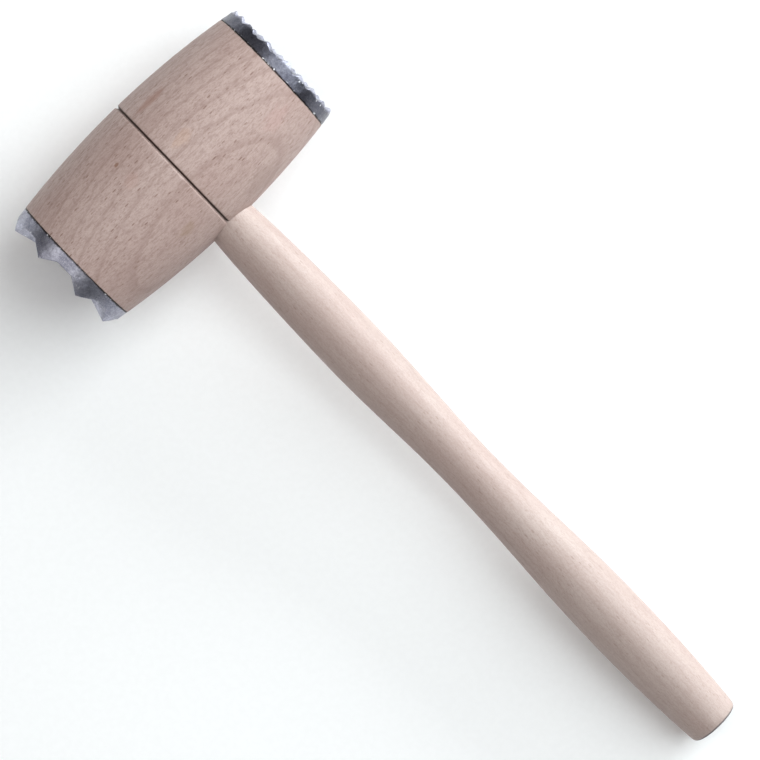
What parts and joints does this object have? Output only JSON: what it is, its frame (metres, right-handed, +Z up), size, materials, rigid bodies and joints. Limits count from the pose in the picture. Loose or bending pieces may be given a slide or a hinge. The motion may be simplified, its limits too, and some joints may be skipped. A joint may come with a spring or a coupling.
{
  "type": "meat mallet",
  "caption": "Meat mallet: turned beech barrel head with a coarse and a fine toothed metal cap, and a turned beech handle.",
  "frame": {"origin": "on the surface that the mallet lies on, under the middle of its bounding box", "axes": "+X from the head to the butt, +Y along the barrel towards the fine cap, +Z up; the mallet lies on its belly and the handle slopes down to the butt"},
  "size_m": [0.3324, 0.1186, 0.063],
  "materials": {
    "head_beech": "sanded, unvarnished",
    "handle_beech": "sanded, unvarnished",
    "cast_aluminium": "as cast, skirt turned",
    "nail_steel": "bright wire nail"
  },
  "bodies": {
    "root": {"head_block": "head_beech", "handle": "handle_beech", "fine_face_cap": "cast_aluminium", "coarse_face_cap": "cast_aluminium", "fine_face_nail_1": "nail_steel", "fine_face_nail_2": "nail_steel", "fine_face_nail_3": "nail_steel", "fine_face_nail_4": "nail_steel", "coarse_face_nail_1": "nail_steel", "coarse_face_nail_2": "nail_steel", "coarse_face_nail_3": "nail_steel", "coarse_face_nail_4": "nail_steel"}
  },
  "joints": []
}
